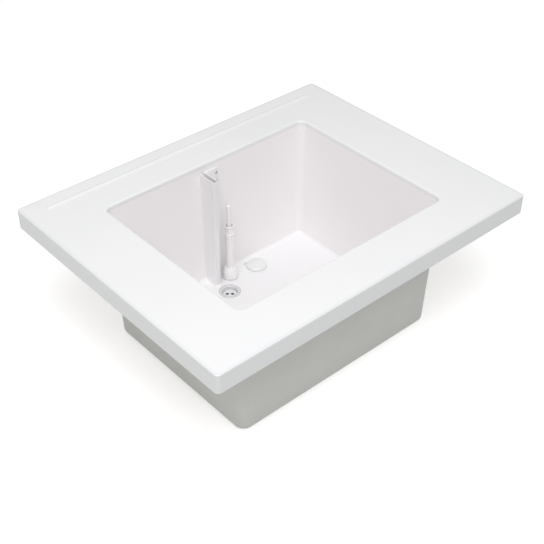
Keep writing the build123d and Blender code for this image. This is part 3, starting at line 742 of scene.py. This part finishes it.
def makeCollar():
    low, top, collar, waist = stopper["tubeTop"], stopper["collarTop"], stopper["collar"], stopper["waist"]
    neck = stopper["neck"] + 0.3
    bm = turned([
        (neck, low), (collar - 0.4, low), (collar, low + 0.4), (collar, low + 3.6), (collar - 0.4, low + 4),
        (waist, low + 4.4), (waist - 0.25, low + 12), (waist, top - 4.4), (collar - 0.4, top - 4),
        (collar, top - 3.6), (collar, top - 0.5), (collar - 0.6, top), (neck + 0.5, top), (neck, top - 0.5),
        (neck, low),
    ], stopper["centre"], 96)
    middle = Vector((*stopper["centre"], 0)) * mm
    grips = []
    for face in bm.faces:  # the broad faces of the two rings, every few degrees
        spot = face.calc_center_median() - middle
        out = Vector((spot.x, spot.y))
        turn = math.degrees(math.atan2(out.y, out.x)) % stopper["gripPitch"]
        if out.length > (collar - 0.2) * mm and face.calc_area() > 1.5e-6 and turn < stopper["gripTurn"]:
            grips.append(face)
    bmesh.ops.inset_individual(bm, faces=grips, thickness=stopper["gripRim"] * mm,
                               depth=-stopper["gripDepth"] * mm)
    return addPiece("twistCollar", bm, "collar", finishes["stopper"], ["twist_collar"],
                    weighted=False)


makeBell()
makeTube()
makeRod()
makeCollar()
print("stopper made")


# loose cover of the waste
cover = {"centre": (84.3, 150), "radius": 22.5, "low": 16, "skirt": 3.5, "top": 25.5, "wall": 2,
         "lugTurn": 125, "lugReach": 24, "lug": 6, "lugHole": 2.6, "lugThickness": 3}


def makeCover():
    low, radius, skirt = cover["low"], cover["radius"], cover["low"] + cover["skirt"]
    inside, rise = radius - cover["wall"], cover["top"] - skirt
    outerTurns = [math.pi / 2 * n / 12 for n in range(11, -1, -1)]
    innerTurns = [math.pi / 2 * n / 10 for n in range(0, 11)]
    arch = [(radius * math.sin(t), skirt + rise * math.cos(t)) for t in outerTurns]
    under = [(inside * math.sin(t), skirt + (rise - cover["wall"]) * math.cos(t)) for t in innerTurns]
    bm = turned([
        *under, (inside, low + 0.4), (inside + 0.4, low), (radius - 1.1, low), (radius - 0.9, low + 0.2),
        (radius - 0.9, low + 1.1), (radius - 0.3, low + 1.5), (radius, low + 2), (radius, skirt - 0.4), *arch,
    ], cover["centre"], 96)
    turn, reach = math.radians(cover["lugTurn"]), cover["lugReach"]
    place = (cover["centre"][0] + reach * math.cos(turn), cover["centre"][1] + reach * math.sin(turn))
    lug, hole, lugTop = cover["lug"], cover["lugHole"], low + cover["lugThickness"]
    ring = turned([
        (hole, low + 0.6), (hole + 0.6, low), (lug - 0.7, low), (lug, low + 0.7), (lug, lugTop - 0.9),
        (lug - 0.9, lugTop), (hole + 0.9, lugTop), (hole, lugTop - 0.9), (hole, low + 0.6),
    ], place, 40)
    carve(bm, ring, "UNION")
    return addPiece("drainCover", bm, "cover", finishes["cover"], ["drain_cover"])


makeCover()
print("cover made")


# carried-over pieces
dressing = {
    "dish_washer": "seal", "sump_seal": "seal", "waste_sump": "sump",
    "basin_clips": "zinc", "clip_screws": "zinc", "frame_inserts": "brass", "rod_bush": "handle",
    "front_rail": "boardX", "rear_rail": "boardX", "left_rail": "boardY", "right_rail": "boardY",
}
for nodeName, finishName in dressing.items():
    node = nodes[nodeName]
    for slot in node.material_slots:
        slot.link = "OBJECT"
        slot.material = finishes[finishName]
print("carried-over pieces dressed:", len(dressing))


# floor, backdrop and lamps
studio = {"floorHalf": 9, "floorDrop": 0.0005, "floorColour": (0.60, 0.60, 0.60), "seenShare": 1.0,
          "seenWhite": 0.42, "under": (0.22, 0.16), "world": 0.46, "worldColour": (1.0, 1.0, 1.0)}
lamps = {
    "overhead": {"place": (-0.75, -0.9, 2.2), "aim": (0, 0, 0.3), "size": 1.5, "power": 32.6},
    "leftFill": {"place": (-2.4, 0.1, 0.3), "aim": (0, 0, 0.12), "size": 1.0, "power": 2.2},
}


def makeFloor():
    bm = bmesh.new()
    bmesh.ops.create_grid(bm, x_segments=1, y_segments=1, size=studio["floorHalf"])
    bmesh.ops.translate(bm, vec=(0, 0, -studio["floorDrop"]), verts=bm.verts)
    mesh = bpy.data.meshes.new("floor")
    bm.to_mesh(mesh)
    bm.free()
    floor = bpy.data.objects.new("floor", mesh)
    scene.collection.objects.link(floor)
    finish = bpy.data.materials.new("floorPaper")
    finish.use_nodes = True
    tree = finish.node_tree
    shader = tree.nodes["Principled BSDF"]
    shader.inputs["Base Color"].default_value = (*studio["floorColour"], 1)
    shader.inputs["Roughness"].default_value = 0.9
    shader.inputs["Specular IOR Level"].default_value = 0.1
    seenPaper = addNode(tree, "BsdfDiffuse")
    seenPaper.inputs["Color"].default_value = (studio["seenShare"],) * 3 + (1,)
    glow = addNode(tree, "Emission")
    glow.inputs["Color"].default_value = (1, 1, 1, 1)
    glow.inputs["Strength"].default_value = studio["seenWhite"]
    seen = addNode(tree, "AddShader")
    tree.links.new(seenPaper.outputs[0], seen.inputs[0])
    tree.links.new(glow.outputs[0], seen.inputs[1])
    mix = addNode(tree, "MixShader")
    # under the basin the paper stays plain, so the waste's holes look down into the dark
    axes = addNode(tree, "SeparateXYZ")
    tree.links.new(placeOf(tree), axes.inputs["Vector"])
    beyond = [combine(tree, "GREATER_THAN", combine(tree, "ABSOLUTE", axes.outputs[axis], 0), reach)
              for axis, reach in zip("XY", studio["under"])]
    outside = combine(tree, "MAXIMUM", *beyond)
    tree.links.new(combine(tree, "MULTIPLY", cleanRays(tree), outside), mix.inputs["Fac"])
    tree.links.new(shader.outputs[0], mix.inputs[1])
    tree.links.new(seen.outputs[0], mix.inputs[2])
    tree.links.new(mix.outputs[0], tree.nodes["Material Output"].inputs["Surface"])
    mesh.materials.append(finish)


def cleanRays(tree):
    rays = addNode(tree, "LightPath")
    both = combine(tree, "ADD", rays.outputs["Is Camera Ray"], rays.outputs["Is Glossy Ray"])
    allThree = combine(tree, "ADD", both, rays.outputs["Is Transmission Ray"])
    return combine(tree, "MINIMUM", allThree, 1.0)


def makeWorld():
    world = bpy.data.worlds.new("studio")
    scene.world = world
    world.use_nodes = True
    tree = world.node_tree
    base = tree.nodes["Background"]
    base.inputs["Color"].default_value = (*studio["worldColour"], 1)
    base.inputs["Strength"].default_value = studio["world"]
    seen = addNode(tree, "Background")
    seen.inputs["Color"].default_value = (1, 1, 1, 1)
    seen.inputs["Strength"].default_value = 1.0
    mix = addNode(tree, "MixShader")
    tree.links.new(cleanRays(tree), mix.inputs["Fac"])
    tree.links.new(base.outputs[0], mix.inputs[1])
    tree.links.new(seen.outputs[0], mix.inputs[2])
    tree.links.new(mix.outputs[0], tree.nodes["World Output"].inputs["Surface"])


def makeLamps():
    for name, lamp in lamps.items():
        data = bpy.data.lights.new(name, "AREA")
        data.shape, data.size, data.energy = "SQUARE", lamp["size"], lamp["power"]
        light = bpy.data.objects.new(name, data)
        scene.collection.objects.link(light)
        light.location = lamp["place"]
        facing = Vector(lamp["aim"]) - Vector(lamp["place"])
        light.rotation_euler = facing.to_track_quat("-Z", "Y").to_euler()


makeFloor()
makeWorld()
makeLamps()
scene.view_settings.view_transform = "Standard"
print("studio made")
